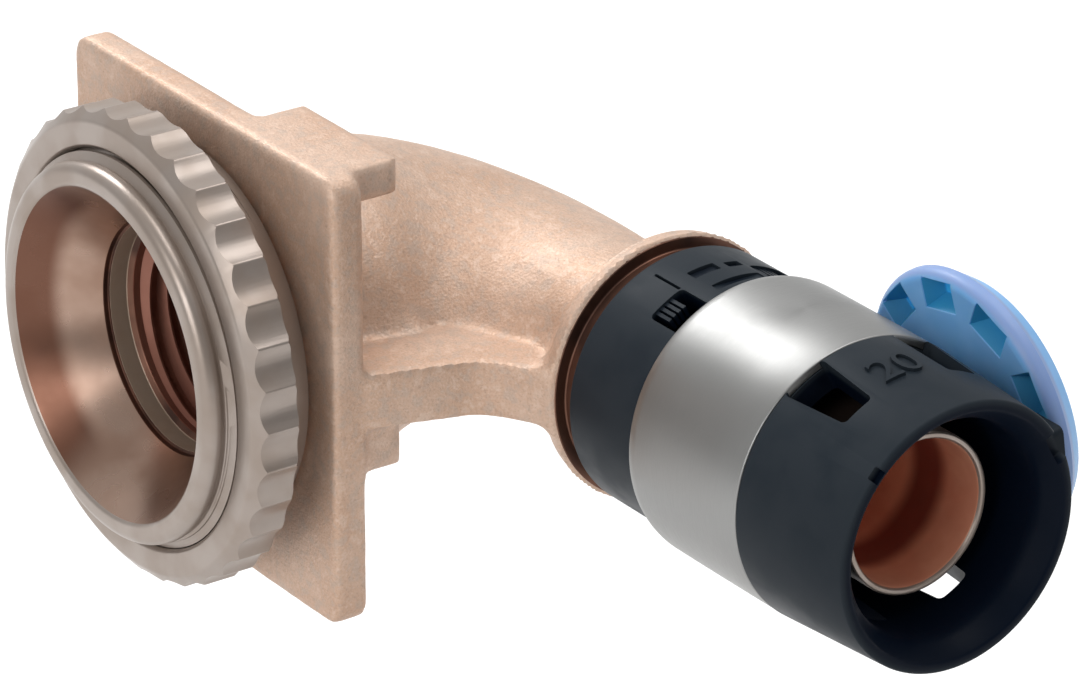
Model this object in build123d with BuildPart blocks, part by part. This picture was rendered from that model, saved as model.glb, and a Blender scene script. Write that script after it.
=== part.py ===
from build123d import *
import math
import os

os.makedirs("parts", exist_ok=True)

# Frame: the mouth axis is the Y axis and the mouth looks along -Y.
# The pipe socket looks along +X, and Z is up. The origin lies on the mouth axis,
# in the plane of the square plate's front face.

# square plate
plate_side = 44.4
plate_thickness = 3.5
plate_corner_radius = 2.0
plate_edge_radius = 0.5

# lugs behind the plate: one along its top edge, one beside the rib
top_lug_left = 4.8
top_lug_height = 3.7
top_lug_depth = 4.9
side_lug_height = 7.6
side_lug_width = 4.6
side_lug_inset = 0.8
side_lug_depth = 4.3

# threaded cup in front of the plate
cup_length = 11.0
cup_thread_radius = 19.0
cup_thread_depth = 0.8
nose_length = 1.3
lip_outer_radius = 17.8
lip_inner_radius = 16.0
seat_radius = 11.05
seat_depth = 7.1
seat_step = 2.7
seat_bevel = 0.5

# female tap thread, plain at its major radius
tap_thread_radius = 10.48
tap_thread_length = 13.7
thread_end_cone = 1.5

# curved tube between the plate and the socket
socket_offset = 30.2
bend_radius = 16.0
tube_root_radius = 15.0
tube_end_radius = 9.45
passage_root_radius = 9.2
passage_end_radius = 6.1

# rib in the inner corner
rib_thickness = 5.6
rib_foot_inset = 0.6
rib_foot_step = 0.2
rib_length = 3.2
rib_rise = 10.5
rib_bend_radius = 5.0

# collar, neck and nozzle of the pipe socket
collar_front = 31.8
collar_length = 2.2
collar_flare = 5.6
collar_radius = 13.2
neck_radius = 11.6
neck_length = 4.2
nozzle_length = 36.7
nozzle_radius = 7.65
nozzle_bore_radius = 6.7
nozzle_bore_depth = 9.0

# seal rings, each this far in front of the neck
seal_section_radius = 0.65
seal_groove_depth = 0.95
seal_groove_width = 1.7
rear_seal_distance = 11.0
front_seal_distance = 18.5

# ring nut on the cup
nut_gap = 4.1
nut_thickness = 4.5
nut_wall = 3.85
nut_face_step = 1.3
nut_face_bevel = 1.1
nut_back_bevel = 0.3
nut_thread_clearance = 0.05
nut_inner_chamfer = 0.7
flute_count = 36
flute_depth = 0.5
flute_start_angle = 5

# plastic pipe holder
holder_gap = 2.0
holder_length = 40.4
holder_wall = 1.05
holder_front_taper = 0.9
pipe_bore_radius = 10.2
mouth_flare = 1.3
mouth_flare_length = 3.0
neck_clearance = 0.05

# windows in the holder, in degrees about the socket axis
window_angle = 14.0
window_spread = 26.0
window_centre = 3.0
rear_window_length = 4.4
front_window_length = 7.6

# steel press sleeve
sleeve_distance = 10.1
sleeve_length = 16.2
sleeve_wall = 0.9
sleeve_clearance = 0.05
sleeve_bevel = 0.5

# pressing indicator, a round disc that clips on the holder's far side,
# with a ring of pockets in the face that looks at the sleeve
indicator_turn = -82.0
indicator_rim_radius = 13.5
indicator_back_radius = 11.9
indicator_height = 3.5
indicator_edge_radius = 1.5
indicator_setback = 2.5
indicator_gap = 0.15
pocket_count = 10
pocket_start_angle = 7
pocket_rim = 0.7
pocket_length = 3.0
pocket_width = 4.5
pocket_depth = 2.0
pocket_draft = 25
stem_length = 5.0
stem_width = 4.0
stem_clearance = 0.1
stem_distance = 5.0
stem_depth = 0.8
clip_length = 4.2
clip_width = 8.8
clip_setback = 2.0

# small edges on turned and moulded pieces, how far one form runs into the next,
# and how far a cut runs past the face that it opens
edge_break = 0.4
bite = 1.0
cut_margin = 1.0

# places that follow from the sizes
mouth_axis = Axis((0, 0, 0), (0, 1, 0))
socket_axis = Axis((0, socket_offset, 0), (1, 0, 0))
plate_middle = plate_thickness / 2
half_plate = plate_side / 2
bend_start = socket_offset - bend_radius
cup_front = -cup_length
seat_face = cup_front + seat_depth
thread_front = seat_face + seat_step
thread_end = thread_front + tap_thread_length
collar_back = collar_front - collar_length
flare_start = collar_back - collar_flare
neck_front = collar_front + neck_length
nozzle_front = collar_front + nozzle_length
nozzle_step = nozzle_front - nozzle_bore_depth
holder_back = collar_front + holder_gap
holder_front = holder_back + holder_length
holder_bore_radius = neck_radius + neck_clearance
holder_body_radius = holder_bore_radius + holder_wall
sleeve_back = holder_back + sleeve_distance
sleeve_front = sleeve_back + sleeve_length
sleeve_bore_radius = holder_body_radius + sleeve_clearance
sleeve_radius = sleeve_bore_radius + sleeve_wall
holder_front_radius = sleeve_radius - holder_front_taper


def socket_point(x, radius):
    """A point of a profile that turns about the socket axis."""
    return (x, socket_offset + radius)


def bend_plane(turn):
    """The plane across the tube after it has turned by this many degrees."""
    angle = math.radians(turn)
    centre = (
        bend_radius - bend_radius * math.cos(angle),
        bend_start + bend_radius * math.sin(angle),
        0,
    )
    return Plane(origin=centre, x_dir=(0, 0, 1), z_dir=(math.sin(angle), math.cos(angle), 0))


def straight_plane_y(y):
    """The plane across the tube on its straight run behind the plate."""
    return Plane(origin=(0, y, 0), x_dir=(0, 0, 1), z_dir=(0, 1, 0))


def straight_plane_x(x):
    """The plane across the tube on its straight run to the collar."""
    return Plane(origin=(x, socket_offset, 0), x_dir=(0, 0, 1), z_dir=(1, 0, 0))


def around_socket(angle):
    """The direction square to the socket axis, in degrees from +Z towards -Y."""
    return (0, -math.sin(math.radians(angle)), math.cos(math.radians(angle)))


def side_plane(x, distance):
    """A plane square to the indicator's axis, this far from the socket axis."""
    origin = (x, socket_offset, 0)
    return Plane(origin=origin, x_dir=(1, 0, 0), z_dir=around_socket(indicator_turn)).offset(distance)


def side_section(x):
    """The plane through both the socket axis and the indicator's axis."""
    across = around_socket(indicator_turn + 90)
    return Plane(origin=(x, socket_offset, 0), x_dir=(1, 0, 0), z_dir=across)


def socket_wedge(x_start, x_end, centre):
    """A wedge about the socket axis, for cutting a window through the holder's wall."""
    first_edge = around_socket(centre - window_angle / 2)
    back = Plane(origin=(x_start, socket_offset, 0), x_dir=first_edge, z_dir=(1, 0, 0))
    return Solid.make_cylinder(sleeve_radius + cut_margin, x_end - x_start, back, window_angle)


# the tube narrows as it turns, slowly at first
bend_turns = range(0, 91, 15)
taper_power = 1.5


def tube_radius(turn, root, end):
    """The radius of a tapered bend after this many degrees."""
    share = math.sin(math.radians(turn)) ** taper_power
    return root + (end - root) * share


# casting: the outer form first, then the water way
with BuildPart() as elbow_body:
    with BuildSketch(Plane.XZ):
        RectangleRounded(plate_side, plate_side, plate_corner_radius)
    extrude(amount=-plate_thickness)
    fillet(elbow_body.edges().filter_by(Plane.XZ), plate_edge_radius)

    # cup wall with its lip
    with BuildSketch(Plane.XY):
        with BuildLine():
            Polyline(
                (0, plate_middle),
                (0, cup_front),
                (lip_outer_radius, cup_front),
                (cup_thread_radius - cup_thread_depth, cup_front + nose_length),
                (cup_thread_radius, cup_front + nose_length + cup_thread_depth),
                (cup_thread_radius, plate_middle),
                close=True,
            )
        make_face()
    revolve(axis=mouth_axis)

    # tapered bend
    for y in (plate_middle, (plate_thickness + bend_start) / 2):
        with BuildSketch(straight_plane_y(y)):
            Circle(tube_root_radius)
    for turn in bend_turns:
        with BuildSketch(bend_plane(turn)):
            Circle(tube_radius(turn, tube_root_radius, tube_end_radius))
    tube_run = flare_start + bite - bend_radius
    for share in (1 / 3, 2 / 3, 1):
        with BuildSketch(straight_plane_x(bend_radius + share * tube_run)):
            Circle(tube_end_radius)
    loft()

    # collar with its cast flare, neck and nozzle
    collar_root_radius = collar_radius - edge_break
    flare_middle = socket_point(
        flare_start + collar_flare * 0.7,
        tube_end_radius + (collar_root_radius - tube_end_radius) * 0.3,
    )
    with BuildSketch(Plane.XY):
        with BuildLine():
            ThreePointArc(
                socket_point(flare_start, tube_end_radius),
                flare_middle,
                socket_point(collar_back, collar_root_radius),
            )
            Polyline(
                socket_point(collar_back, collar_root_radius),
                socket_point(collar_back + edge_break, collar_radius),
                socket_point(collar_front - edge_break, collar_radius),
                socket_point(collar_front, collar_radius - edge_break),
                socket_point(collar_front, neck_radius),
                socket_point(neck_front, neck_radius),
                socket_point(neck_front, nozzle_radius),
                socket_point(nozzle_front, nozzle_radius),
                socket_point(nozzle_front, 0),
                socket_point(bend_radius, 0),
                socket_point(bend_radius, tube_end_radius - bite),
                socket_point(flare_start, tube_end_radius),
            )
        make_face()
    revolve(axis=socket_axis)

    # rib between the plate and the collar
    rib_corner = (half_plate + rib_length, plate_thickness + rib_rise)
    with BuildSketch(Plane.XY.offset(-rib_thickness / 2)):
        with BuildLine():
            Polyline(
                (0, plate_middle),
                (half_plate - rib_foot_inset, plate_middle),
                (half_plate + rib_foot_step, plate_thickness),
                rib_corner,
                (collar_front - bite, socket_offset - collar_radius),
                (collar_front - bite, socket_offset),
                (0, socket_offset),
                close=True,
            )
        make_face()
        rib_bend = vertices().sort_by_distance((*rib_corner, -rib_thickness / 2))[0]
        fillet(rib_bend, rib_bend_radius)
    extrude(amount=rib_thickness)

    # lugs behind the plate
    lug_plane = Plane.XZ.offset(-plate_middle)
    top_lug_width = half_plate - plate_corner_radius - top_lug_left
    with BuildSketch(lug_plane):
        with Locations((top_lug_left, half_plate)):
            Rectangle(top_lug_width, top_lug_height, align=(Align.MIN, Align.MAX))
    extrude(amount=plate_middle - plate_thickness - top_lug_depth)
    with BuildSketch(lug_plane):
        with Locations((half_plate - side_lug_inset, 0)):
            Rectangle(side_lug_width, side_lug_height, align=(Align.MAX, Align.MAX))
    extrude(amount=plate_middle - plate_thickness - side_lug_depth)

    # seal grooves
    seal_floor_radius = nozzle_radius - seal_groove_depth
    for distance in (rear_seal_distance, front_seal_distance):
        with BuildSketch(Plane.XY):
            with Locations(socket_point(neck_front + distance, seal_floor_radius)):
                Rectangle(
                    seal_groove_width,
                    seal_groove_depth + cut_margin,
                    align=(Align.CENTER, Align.MIN),
                )
        revolve(axis=socket_axis, mode=Mode.SUBTRACT)

    # mouth, thread bore and its seat
    with BuildSketch(Plane.XY):
        with BuildLine():
            Polyline(
                (0, cup_front - cut_margin),
                (lip_inner_radius + edge_break, cup_front - cut_margin),
                (lip_inner_radius + edge_break, cup_front),
                (lip_inner_radius, cup_front + edge_break),
                (seat_radius, seat_face),
                (seat_radius, thread_front - seat_bevel),
                (tap_thread_radius, thread_front),
                (tap_thread_radius, thread_end),
                (passage_root_radius, thread_end + thread_end_cone),
                (0, thread_end + thread_end_cone),
                close=True,
            )
        make_face()
    revolve(axis=mouth_axis, mode=Mode.SUBTRACT)

    # curved water way, then the straight one through the nozzle
    with BuildSketch(straight_plane_y(thread_end - bite)):
        Circle(passage_root_radius)
    for turn in bend_turns:
        with BuildSketch(bend_plane(turn)):
            Circle(tube_radius(turn, passage_root_radius, passage_end_radius))
    loft(mode=Mode.SUBTRACT)
    with BuildSketch(Plane.XY):
        with BuildLine():
            Polyline(
                socket_point(bend_radius, 0),
                socket_point(bend_radius, passage_end_radius),
                socket_point(nozzle_step, passage_end_radius),
                socket_point(nozzle_step, nozzle_bore_radius),
                socket_point(nozzle_front + cut_margin, nozzle_bore_radius),
                socket_point(nozzle_front + cut_margin, 0),
                close=True,
            )
        make_face()
    revolve(axis=socket_axis, mode=Mode.SUBTRACT)

elbow_body.part.label = "elbow_body"
export_step(elbow_body.part, "parts/elbow_body.step")

# scalloped ring nut, which turns on the cup's thread
nut_back = -nut_gap
nut_front = nut_back - nut_thickness
nut_bore_radius = cup_thread_radius + nut_thread_clearance
nut_radius = nut_bore_radius + nut_wall
flute_half_pitch = math.pi / flute_count
flute_half_chord = nut_radius * math.sin(flute_half_pitch)
flute_radius = (flute_half_chord**2 + flute_depth**2) / (2 * flute_depth)
flute_centre = nut_radius * math.cos(flute_half_pitch) - flute_depth + flute_radius
with BuildPart() as ring_nut:
    with BuildSketch(Plane.XY):
        with BuildLine():
            Polyline(
                (nut_bore_radius, nut_back),
                (nut_radius - nut_back_bevel, nut_back),
                (nut_radius, nut_back - nut_back_bevel),
                (nut_radius, nut_front + nut_face_bevel),
                (nut_radius - nut_face_step, nut_front),
                (nut_bore_radius + nut_inner_chamfer, nut_front),
                (nut_bore_radius, nut_front + nut_inner_chamfer),
                close=True,
            )
        make_face()
    revolve(axis=mouth_axis)
    with BuildSketch(Plane.XZ.offset(nut_gap)):
        with PolarLocations(flute_centre, flute_count, start_angle=flute_start_angle):
            Circle(flute_radius)
    extrude(amount=nut_thickness, mode=Mode.SUBTRACT)
ring_nut.part.label = "ring_nut"
export_step(ring_nut.part, "parts/ring_nut.step")

# steel press sleeve, rounded at its rear end
with BuildPart() as press_sleeve:
    with BuildSketch(Plane.XY):
        with BuildLine():
            Polyline(
                socket_point(sleeve_back, sleeve_bore_radius),
                socket_point(sleeve_back, sleeve_radius - sleeve_bevel),
                socket_point(sleeve_back + sleeve_bevel, sleeve_radius),
                socket_point(sleeve_front, sleeve_radius),
                socket_point(sleeve_front, sleeve_bore_radius),
                close=True,
            )
        make_face()
    revolve(axis=socket_axis)
press_sleeve.part.label = "press_sleeve"
export_step(press_sleeve.part, "parts/press_sleeve.step")

# black pipe holder, one moulding that runs under the sleeve
indicator_face = sleeve_radius + indicator_gap
indicator_back = indicator_face + indicator_height
stem_root = pipe_bore_radius + stem_depth
stem_centre = sleeve_front + stem_distance
clip_root = pipe_bore_radius + bite
clip_centre = holder_front - clip_setback - clip_length / 2
with BuildPart() as pipe_holder:
    with BuildSketch(Plane.XY):
        with BuildLine():
            Polyline(
                socket_point(holder_back, holder_bore_radius),
                socket_point(holder_back, holder_body_radius - edge_break),
                socket_point(holder_back + edge_break, holder_body_radius),
                socket_point(sleeve_front, holder_body_radius),
                socket_point(sleeve_front, sleeve_radius),
                socket_point(holder_front - edge_break, holder_front_radius),
                socket_point(holder_front, holder_front_radius - edge_break),
                socket_point(holder_front, pipe_bore_radius + mouth_flare),
                socket_point(holder_front - mouth_flare_length, pipe_bore_radius),
                socket_point(neck_front, pipe_bore_radius),
                socket_point(neck_front, holder_bore_radius),
                close=True,
            )
        make_face()
    revolve(axis=socket_axis)

    # clip for the indicator on the far side
    with BuildSketch(side_plane(clip_centre, clip_root)):
        Rectangle(clip_length, clip_width)
    extrude(amount=indicator_face - clip_root)

    # seat for the indicator's stem
    with BuildSketch(side_plane(stem_centre, stem_root)):
        Rectangle(stem_length + 2 * stem_clearance, stem_width + 2 * stem_clearance)
    extrude(amount=sleeve_radius + cut_margin - stem_root, mode=Mode.SUBTRACT)

    # windows through the wall: a pair above and a pair below, at each end
    for turn in (0, 180):
        for side in (-window_spread, window_spread):
            centre = window_centre + turn + side
            rear_wedge = socket_wedge(sleeve_back - rear_window_length, sleeve_back, centre)
            front_wedge = socket_wedge(sleeve_front, sleeve_front + front_window_length, centre)
            add([rear_wedge, front_wedge], mode=Mode.SUBTRACT)
pipe_holder.part.label = "pipe_holder"
export_step(pipe_holder.part, "parts/pipe_holder.step")

# pressing indicator, with its pockets narrowing towards their floors
indicator_centre = sleeve_front - indicator_setback
pocket_radius = indicator_rim_radius - pocket_rim - pocket_length / 2
with BuildPart() as pressing_indicator:
    with BuildSketch(side_section(indicator_centre)):
        with BuildLine():
            Polyline(
                (0, indicator_face),
                (indicator_rim_radius, indicator_face),
                (indicator_rim_radius, indicator_face + indicator_edge_radius),
                (indicator_back_radius, indicator_back),
                (0, indicator_back),
                close=True,
            )
        make_face()
        rim_corner = vertices().sort_by_distance((indicator_rim_radius, indicator_face, 0))[0]
        fillet(rim_corner, indicator_edge_radius - edge_break)
    disc_axis = Axis((indicator_centre, socket_offset, 0), around_socket(indicator_turn))
    revolve(axis=disc_axis)
    with BuildSketch(side_plane(indicator_centre, indicator_face)):
        with PolarLocations(pocket_radius, pocket_count, pocket_start_angle):
            Rectangle(pocket_length, pocket_width)
    extrude(amount=pocket_depth, taper=pocket_draft, mode=Mode.SUBTRACT)

    # stem that stands in the holder
    with BuildSketch(side_plane(stem_centre, stem_root)):
        Rectangle(stem_length, stem_width)
    extrude(amount=indicator_face + pocket_depth - stem_root)
pressing_indicator.part.label = "pressing_indicator"
export_step(pressing_indicator.part, "parts/pressing_indicator.step")

# two rubber seal rings in the nozzle's grooves
seal_places = {"rear_seal_ring": rear_seal_distance, "front_seal_ring": front_seal_distance}
for name, distance in seal_places.items():
    with BuildPart() as seal_ring:
        with BuildSketch(Plane.XY):
            with Locations(socket_point(neck_front + distance, seal_floor_radius + seal_section_radius)):
                Circle(seal_section_radius)
        revolve(axis=socket_axis)
    seal_ring.part.label = name
    export_step(seal_ring.part, f"parts/{name}.step")
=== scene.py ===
import bpy
import bmesh
import math
from mathutils import Matrix, Vector, noise


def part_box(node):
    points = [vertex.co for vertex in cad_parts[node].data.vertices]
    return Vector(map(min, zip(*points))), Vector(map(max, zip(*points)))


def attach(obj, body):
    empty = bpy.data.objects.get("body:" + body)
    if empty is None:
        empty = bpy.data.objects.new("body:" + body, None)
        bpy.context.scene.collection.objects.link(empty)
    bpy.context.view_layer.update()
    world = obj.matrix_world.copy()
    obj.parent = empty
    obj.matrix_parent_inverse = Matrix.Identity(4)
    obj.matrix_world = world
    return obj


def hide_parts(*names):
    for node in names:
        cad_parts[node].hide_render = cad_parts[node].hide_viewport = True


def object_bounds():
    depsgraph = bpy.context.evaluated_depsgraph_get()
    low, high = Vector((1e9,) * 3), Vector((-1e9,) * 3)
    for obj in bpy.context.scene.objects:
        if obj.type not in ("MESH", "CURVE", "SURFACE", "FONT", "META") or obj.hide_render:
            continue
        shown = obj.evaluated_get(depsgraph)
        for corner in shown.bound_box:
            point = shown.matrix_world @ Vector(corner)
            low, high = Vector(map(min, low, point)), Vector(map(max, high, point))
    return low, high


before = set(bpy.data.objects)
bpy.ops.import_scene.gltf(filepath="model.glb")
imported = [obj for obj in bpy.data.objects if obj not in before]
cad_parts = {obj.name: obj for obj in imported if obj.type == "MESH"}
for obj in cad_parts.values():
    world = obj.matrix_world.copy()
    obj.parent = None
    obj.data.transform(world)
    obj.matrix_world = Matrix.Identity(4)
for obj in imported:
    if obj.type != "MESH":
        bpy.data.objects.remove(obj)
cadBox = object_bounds()
mm = 0.001
scene = bpy.context.scene
scene.view_settings.view_transform = "Standard"

# places that come from the frame, in millimetres
def nodeBox(node):
    low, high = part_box(node)
    return low / mm, high / mm


bodyLow, bodyHigh = nodeBox("elbow_body")
nutLow, nutHigh = nodeBox("ring_nut")
sleeveLow, sleeveHigh = nodeBox("press_sleeve")
holderLow, holderHigh = nodeBox("pipe_holder")
socketY = (sleeveLow.y + sleeveHigh.y) / 2
sleeveRadius = (sleeveHigh.z - sleeveLow.z) / 2
nutRadius = (nutHigh.z - nutLow.z) / 2
cupFront = bodyLow.y
nozzleFront = bodyHigh.x
print("frame loaded, socket axis at y", round(socketY, 2), "mm")


# camera at the photograph's angle
cameraLook = {
    "azimuth": 54.86, "elevation": 24.84, "roll": 0.11,
    "target": (54.26, 0, 18.59), "distance": 515.51, "lens": 202.47,
}


def makeCamera(look):
    turn = (
        Matrix.Rotation(math.radians(look["azimuth"]), 4, "Z")
        @ Matrix.Rotation(math.radians(90 - look["elevation"]), 4, "X")
        @ Matrix.Rotation(math.radians(look["roll"]), 4, "Z")
    )
    data = bpy.data.cameras.new("photoCamera")
    data.lens = look["lens"]
    data.sensor_width = 36
    data.clip_start = 0.01
    data.clip_end = 20
    camera = bpy.data.objects.new("photoCamera", data)
    scene.collection.objects.link(camera)
    back = turn.to_3x3() @ Vector((0, 0, 1))
    place = (Vector(look["target"]) + back * look["distance"]) * mm
    camera.matrix_world = Matrix.Translation(place) @ turn
    scene.camera = camera


makeCamera(cameraLook)


# material building
class Nodes:
    def __init__(self, material):
        material.use_nodes = True
        self.tree = material.node_tree
        self.shader = self.tree.nodes["Principled BSDF"]
        self.coords = self.tree.nodes.new("ShaderNodeTexCoord").outputs["Object"]

    def add(self, kind, inputs, **settings):
        node = self.tree.nodes.new("ShaderNode" + kind)
        for name, value in settings.items():
            setattr(node, name, value)
        for name, value in inputs.items():
            if isinstance(value, bpy.types.NodeSocket):
                self.tree.links.new(value, node.inputs[name])
            else:
                node.inputs[name].default_value = value
        return node

    def noiseOf(self, size, detail=3, rough=0.5, coords=None):
        return self.add("TexNoise", {
            "Vector": coords or self.coords, "Scale": 1 / (size * mm),
            "Detail": detail, "Roughness": rough,
        }).outputs["Fac"]

    def span(self, value, low, high, toLow, toHigh):
        return self.add("MapRange", {
            "Value": value, "From Min": low, "From Max": high, "To Min": toLow, "To Max": toHigh,
        }, interpolation_type="SMOOTHSTEP").outputs["Result"]

    def maths(self, operation, first, second=0.0):
        node = self.add("Math", {0: first, 1: second}, operation=operation)
        return node.outputs["Value"]

    def mix(self, factor, first, second):
        node = self.add("Mix", {"Factor": factor}, data_type="RGBA")
        for socket, value in ((node.inputs[6], first), (node.inputs[7], second)):
            if isinstance(value, bpy.types.NodeSocket):
                self.tree.links.new(value, socket)
            else:
                socket.default_value = (*value, 1)
        return node.outputs[2]

    def bump(self, height, strength, distance, under=None):
        inputs = {"Height": height, "Strength": strength, "Distance": distance * mm}
        if under:
            inputs["Normal"] = under
        return self.add("Bump", inputs).outputs["Normal"]

    def outFrom(self, first, second):
        squares = [self.maths("MULTIPLY", value, value) for value in (first, second)]
        return self.maths("SQRT", self.maths("ADD", *squares))

    def give(self, **sockets):
        names = {
            "color": "Base Color", "metal": "Metallic", "rough": "Roughness", "normal": "Normal",
            "subsurface": "Subsurface Weight", "subsurfaceRadius": "Subsurface Radius",
            "subsurfaceScale": "Subsurface Scale", "specular": "Specular IOR Level",
            "anisotropic": "Anisotropic",
        }
        for name, value in sockets.items():
            socket = self.shader.inputs[names[name]]
            if isinstance(value, bpy.types.NodeSocket):
                self.tree.links.new(value, socket)
            elif name == "color":
                socket.default_value = (*value, 1)
            else:
                socket.default_value = value


castLook = {
    "base": (0.58, 0.385, 0.275), "pale": (0.70, 0.545, 0.445),
    "dark": (0.38, 0.26, 0.195), "grey": (0.50, 0.40, 0.335),
    "grain": 0.24, "blotch": 1.3, "pits": 1.9, "stain": 9.0,
    "roughLow": 0.44, "roughHigh": 0.60, "bump": 0.5, "metal": 0.5,
}


def castGunmetal():
    material = bpy.data.materials.new("sandCastGunmetal")
    n = Nodes(material)
    grain = n.noiseOf(castLook["grain"], 4, 0.65)
    speck = n.add("TexVoronoi", {"Vector": n.coords, "Scale": 1 / (castLook["grain"] * 1.3 * mm)})
    stain = n.noiseOf(castLook["stain"], 3)
    blotch = n.noiseOf(castLook["blotch"], 4, 0.6)
    tone = n.mix(n.span(stain, 0.35, 0.65, 0.0, 0.4), castLook["base"], castLook["pale"])
    tone = n.mix(n.span(blotch, 0.54, 0.36, 0.0, 0.55), tone, castLook["grey"])
    tone = n.mix(n.span(blotch, 0.52, 0.68, 0.0, 0.5), tone, castLook["pale"])
    tone = n.mix(n.span(grain, 0.52, 0.72, 0.0, 0.4), tone, castLook["pale"])
    tone = n.mix(n.span(grain, 0.46, 0.30, 0.0, 0.4), tone, castLook["dark"])
    pit = n.add("TexVoronoi", {"Vector": n.coords, "Scale": 1 / (castLook["pits"] * mm)})
    tone = n.mix(n.span(pit.outputs["Distance"], 0.05, 0.14, 0.35, 0.0), tone, castLook["dark"])
    height = n.maths("ADD", n.maths("MULTIPLY", speck.outputs["Distance"], 0.5), grain)
    normal = n.bump(height, castLook["bump"], 0.10)
    normal = n.bump(n.noiseOf(2.2, 2), 0.35, 0.12, normal)
    rough = n.span(grain, 0.3, 0.7, castLook["roughHigh"], castLook["roughLow"])
    n.give(color=tone, metal=castLook["metal"], rough=rough, normal=normal)
    return material


turnedLook = {
    "base": (0.37, 0.315, 0.28), "warm": (0.33, 0.27, 0.23), "pitch": 0.3, "bump": 0.05,
    "roughLow": 0.30, "roughHigh": 0.40,
}


def turnedMetal(name, look, axis, metal):
    # fine rings left by the lathe, round the mouth or round the socket
    material = bpy.data.materials.new(name)
    n = Nodes(material)
    parts = n.add("SeparateXYZ", {"Vector": n.coords})
    x, y, z = (parts.outputs[part] for part in "XYZ")
    if axis == "Y":
        along, first, second = y, x, z
    else:
        along, first, second = x, n.maths("SUBTRACT", y, socketY * mm), z
    out = n.outFrom(first, second)
    rings = n.maths("SUBTRACT", n.maths("MULTIPLY", along, 0.6), out)
    wave = n.maths("SINE", n.maths("MULTIPLY", rings, math.tau / (look["pitch"] * mm)))
    cloud = n.noiseOf(6, 3)
    fine = n.noiseOf(0.5, 3)
    tone = n.mix(n.span(cloud, 0.35, 0.65, 0, 1), look["base"], look["warm"])
    if "shade" in look:
        # painted shade: the outer part of the funnel is painted darker on one side, towards -X
        rim = n.span(out, look["shadeFrom"] * mm, look["shadeTo"] * mm, 0, 1)
        side = n.span(x, look["shadeSide"] * mm, 2 * look["shadeSide"] * mm, 0, look["shadeMost"])
        tone = n.mix(n.maths("MULTIPLY", rim, side), tone, look["shade"])
    if "band" in look:
        # painted shade: a dark band painted a little way inside the nozzle's bore
        first, second, third, fourth = (place * mm for place in look["bandPlaces"])
        rise = n.span(x, first, second, 0, look["bandMost"])
        band = n.maths("MULTIPLY", rise, n.span(x, third, fourth, 1, 0))
        tone = n.mix(band, tone, look["band"])
    normal = n.bump(wave, look["bump"], 0.004)
    normal = n.bump(fine, 0.04, 0.01, normal)
    rough = n.span(cloud, 0.35, 0.65, look["roughLow"], look["roughHigh"])
    n.give(color=tone, metal=metal, rough=rough, normal=normal)
    return material


boreLook = {
    "base": (0.40, 0.275, 0.215), "warm": (0.34, 0.22, 0.165), "pitch": 0.5, "bump": 0.015,
    "roughLow": 0.26, "roughHigh": 0.36,
    # painted shade on the funnel's outer part, darker towards -X
    "shade": (0.13, 0.055, 0.035), "shadeFrom": 13.2, "shadeTo": 14.4,
    "shadeSide": -4.5, "shadeMost": 0.9,
}
seatLook = {
    "base": (0.42, 0.34, 0.265), "warm": (0.37, 0.285, 0.215), "pitch": 0.3, "bump": 0.06,
    "roughLow": 0.42, "roughHigh": 0.52,
}
threadLook = {
    "base": (0.26, 0.108, 0.074), "warm": (0.20, 0.076, 0.052), "pitch": 0.25, "bump": 0.05,
    "roughLow": 0.28, "roughHigh": 0.40,
}
nozzleLook = {
    # the bore's copper colour, painted paler as painted light, since little light reaches inside
    "base": (0.92, 0.47, 0.30), "warm": (0.80, 0.35, 0.22), "pitch": 0.2, "bump": 0.05,
    # band: painted shade a little way inside the bore
    "roughLow": 0.30, "roughHigh": 0.42, "band": (0.20, 0.03, 0.022), "bandMost": 0.9,
    "bandPlaces": (58.5, 60.5, 62.5, 64.5),
}
# painted shade: the nozzle's outside within the holder is painted nearly black
nozzleShadeLook = {
    "base": (0.05, 0.034, 0.028), "warm": (0.035, 0.024, 0.02), "pitch": 0.2, "bump": 0.05,
    "roughLow": 0.40, "roughHigh": 0.50,
}
# painted shade: near-black copper for the shaded collar face and neck and the dark rings in the mouth
paintedShadeLook = {
    "base": (0.16, 0.075, 0.05), "warm": (0.06, 0.03, 0.022), "pitch": 0.2, "bump": 0.05,
    "roughLow": 0.34, "roughHigh": 0.46,
}
cast = castGunmetal()
turnedSkin = turnedMetal("turnedGunmetal", turnedLook, "Y", 0.7)
mouthBore = turnedMetal("turnedMouth", boreLook, "Y", 1.0)
seatSkin = turnedMetal("turnedSeat", seatLook, "Y", 0.6)
mouthThread = turnedMetal("cutThread", threadLook, "Y", 0.6)
nozzleSkin = turnedMetal("turnedNozzle", nozzleLook, "X", 0.2)
nozzleShadeSkin = turnedMetal("nozzleOutsideShade", nozzleShadeLook, "X", 0.5)
paintedShadeSkin = turnedMetal("paintedShadeMetal", paintedShadeLook, "X", 0.8)
bodySkins = [cast, turnedSkin, mouthBore, seatSkin, mouthThread, nozzleSkin, nozzleShadeSkin, paintedShadeSkin]
print("metals made")


sleeveLook = {
    "base": (0.30, 0.30, 0.295), "roughLow": 0.36, "roughHigh": 0.45,
    "scratch": 0.07, "stretch": 14, "anisotropic": 0.35,
}


def satinSteel():
    # scratches run round the sleeve, so the noise is squeezed along X
    material = bpy.data.materials.new("satinSteel")
    n = Nodes(material)
    squeeze = n.add("Mapping", {
        "Vector": n.coords, "Location": (0, -socketY * mm, 0), "Scale": (sleeveLook["stretch"], 1, 1),
    }).outputs["Vector"]
    scratch = n.noiseOf(1.4, 5, 0.7, squeeze)
    normal = n.bump(scratch, sleeveLook["scratch"], 0.02)
    rough = n.span(scratch, 0.3, 0.7, sleeveLook["roughLow"], sleeveLook["roughHigh"])
    n.give(color=sleeveLook["base"], metal=1.0, rough=rough, normal=normal,
           anisotropic=sleeveLook["anisotropic"])
    return material


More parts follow.
